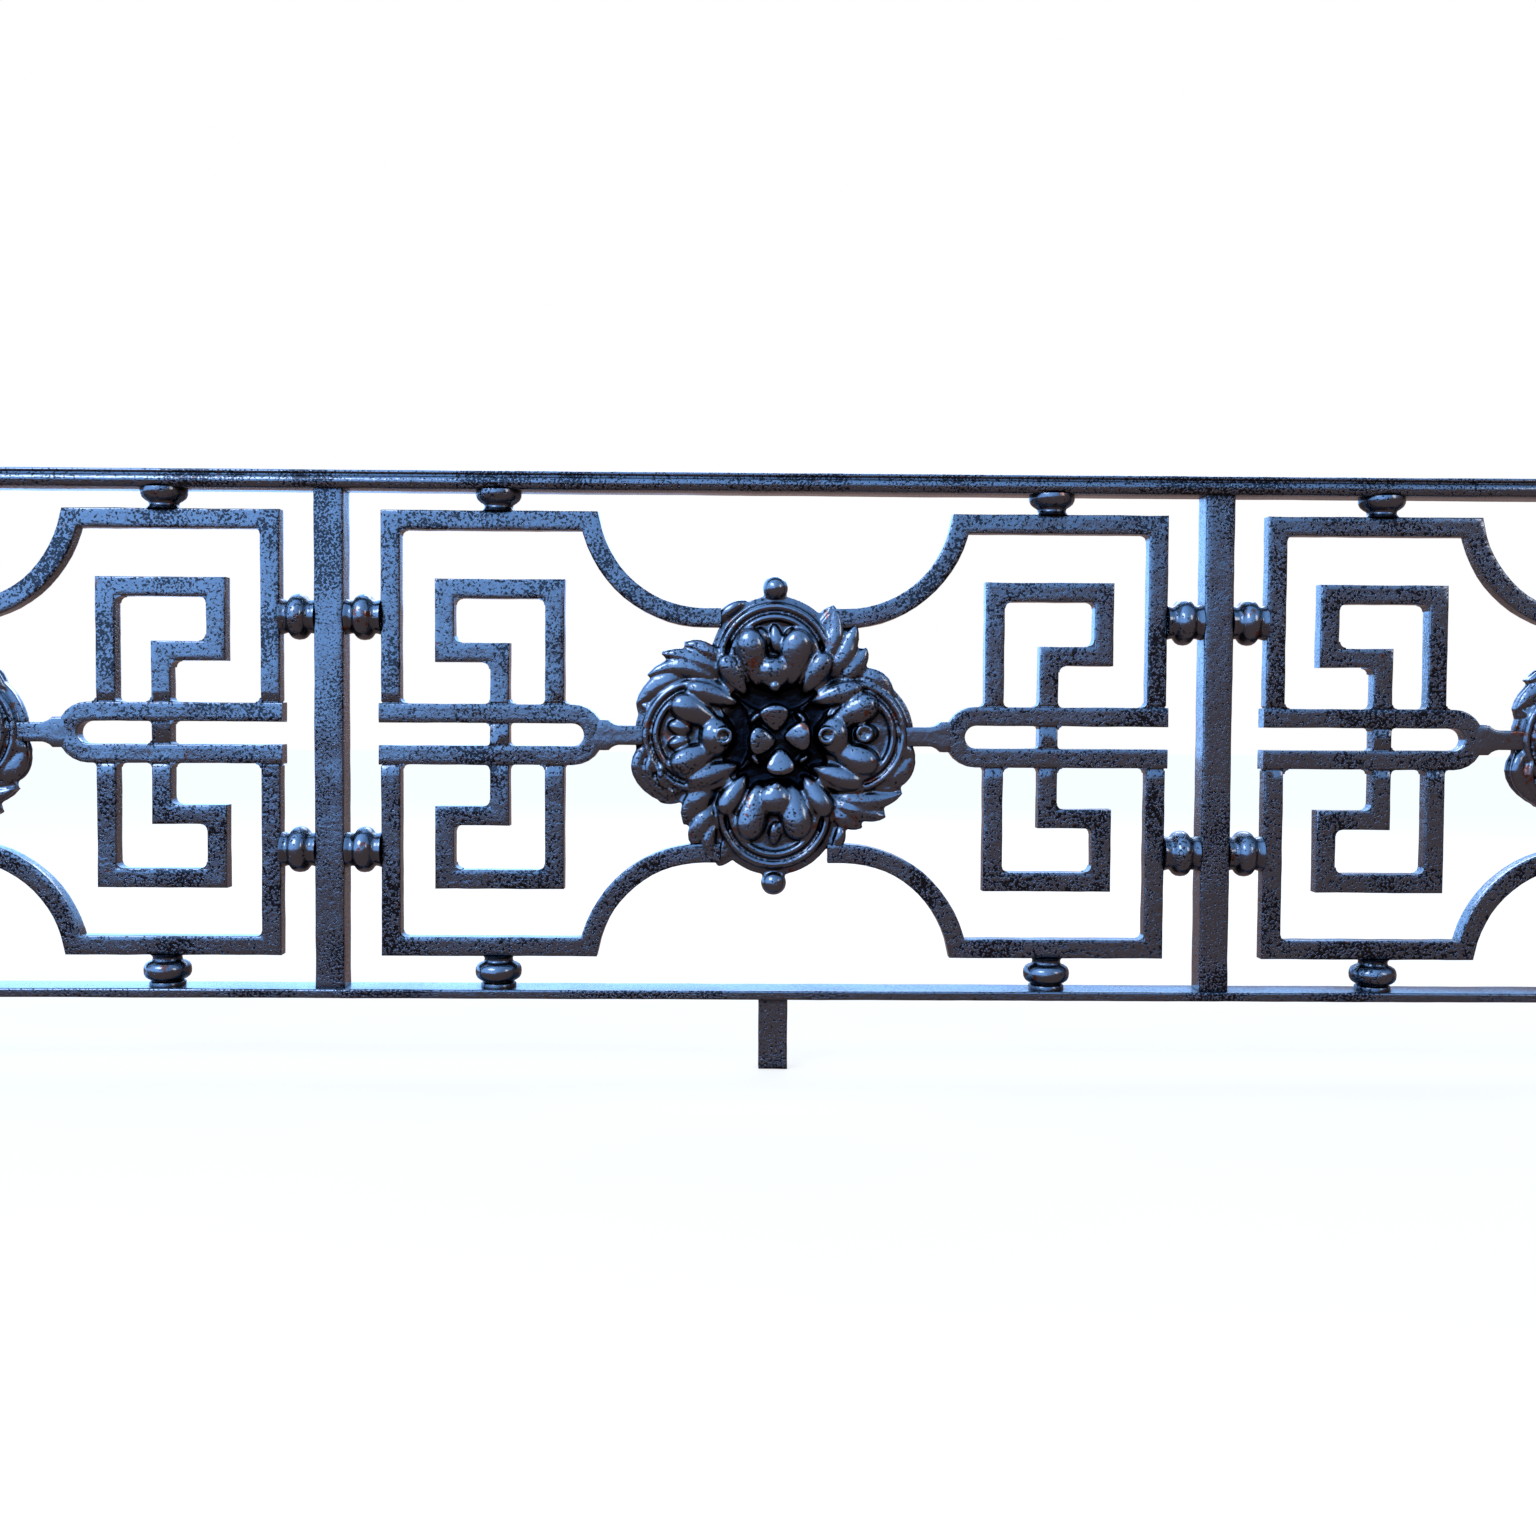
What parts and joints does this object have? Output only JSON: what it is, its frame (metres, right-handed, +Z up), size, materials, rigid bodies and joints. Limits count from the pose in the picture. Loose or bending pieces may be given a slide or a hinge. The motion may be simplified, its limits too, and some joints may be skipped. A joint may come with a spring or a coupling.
{
  "type": "balcony railing run",
  "caption": "Low wrought iron balcony railing: square posts between two rails, bays with Greek key scroll bars and a cast leaf rosette.",
  "frame": {"origin": "centre of the flat underside of the middle bay's foot", "axes": "+X along the railing to the right seen from the front, +Y through it to the back, +Z up"},
  "size_m": [2.714, 0.048, 0.5985],
  "materials": {
    "painted_iron": "thick gloss black paint over rough iron"
  },
  "bodies": {
    "root": {"bottom_rail": "painted_iron", "left_bay_foot": "painted_iron", "left_bay_left_collars": "painted_iron", "left_bay_left_key_loop": "painted_iron", "left_bay_left_lower_frame": "painted_iron", "left_bay_left_upper_frame": "painted_iron", "left_bay_right_collars": "painted_iron", "left_bay_right_key_loop": "painted_iron", "left_bay_right_lower_frame": "painted_iron", "left_bay_right_upper_frame": "painted_iron", "left_bay_rosette_buds": "painted_iron", "left_bay_rosette_knobs": "painted_iron", "left_bay_rosette_leaves": "painted_iron", "left_bay_rosette_petals": "painted_iron", "middle_bay_foot": "painted_iron", "middle_bay_left_collars": "painted_iron", "middle_bay_left_key_loop": "painted_iron", "middle_bay_left_lower_frame": "painted_iron", "middle_bay_left_upper_frame": "painted_iron", "middle_bay_right_collars": "painted_iron", "middle_bay_right_key_loop": "painted_iron", "middle_bay_right_lower_frame": "painted_iron", "middle_bay_right_upper_frame": "painted_iron", "middle_bay_rosette_buds": "painted_iron", "middle_bay_rosette_knobs": "painted_iron", "middle_bay_rosette_leaves": "painted_iron", "middle_bay_rosette_petals": "painted_iron", "post_1": "painted_iron", "post_2": "painted_iron", "post_3": "painted_iron", "post_4": "painted_iron", "right_bay_foot": "painted_iron", "right_bay_left_collars": "painted_iron", "right_bay_left_key_loop": "painted_iron", "right_bay_left_lower_frame": "painted_iron", "right_bay_left_upper_frame": "painted_iron", "right_bay_right_collars": "painted_iron", "right_bay_right_key_loop": "painted_iron", "right_bay_right_lower_frame": "painted_iron", "right_bay_right_upper_frame": "painted_iron", "right_bay_rosette_buds": "painted_iron", "right_bay_rosette_knobs": "painted_iron", "right_bay_rosette_leaves": "painted_iron", "right_bay_rosette_petals": "painted_iron", "top_rail": "painted_iron"}
  },
  "joints": []
}
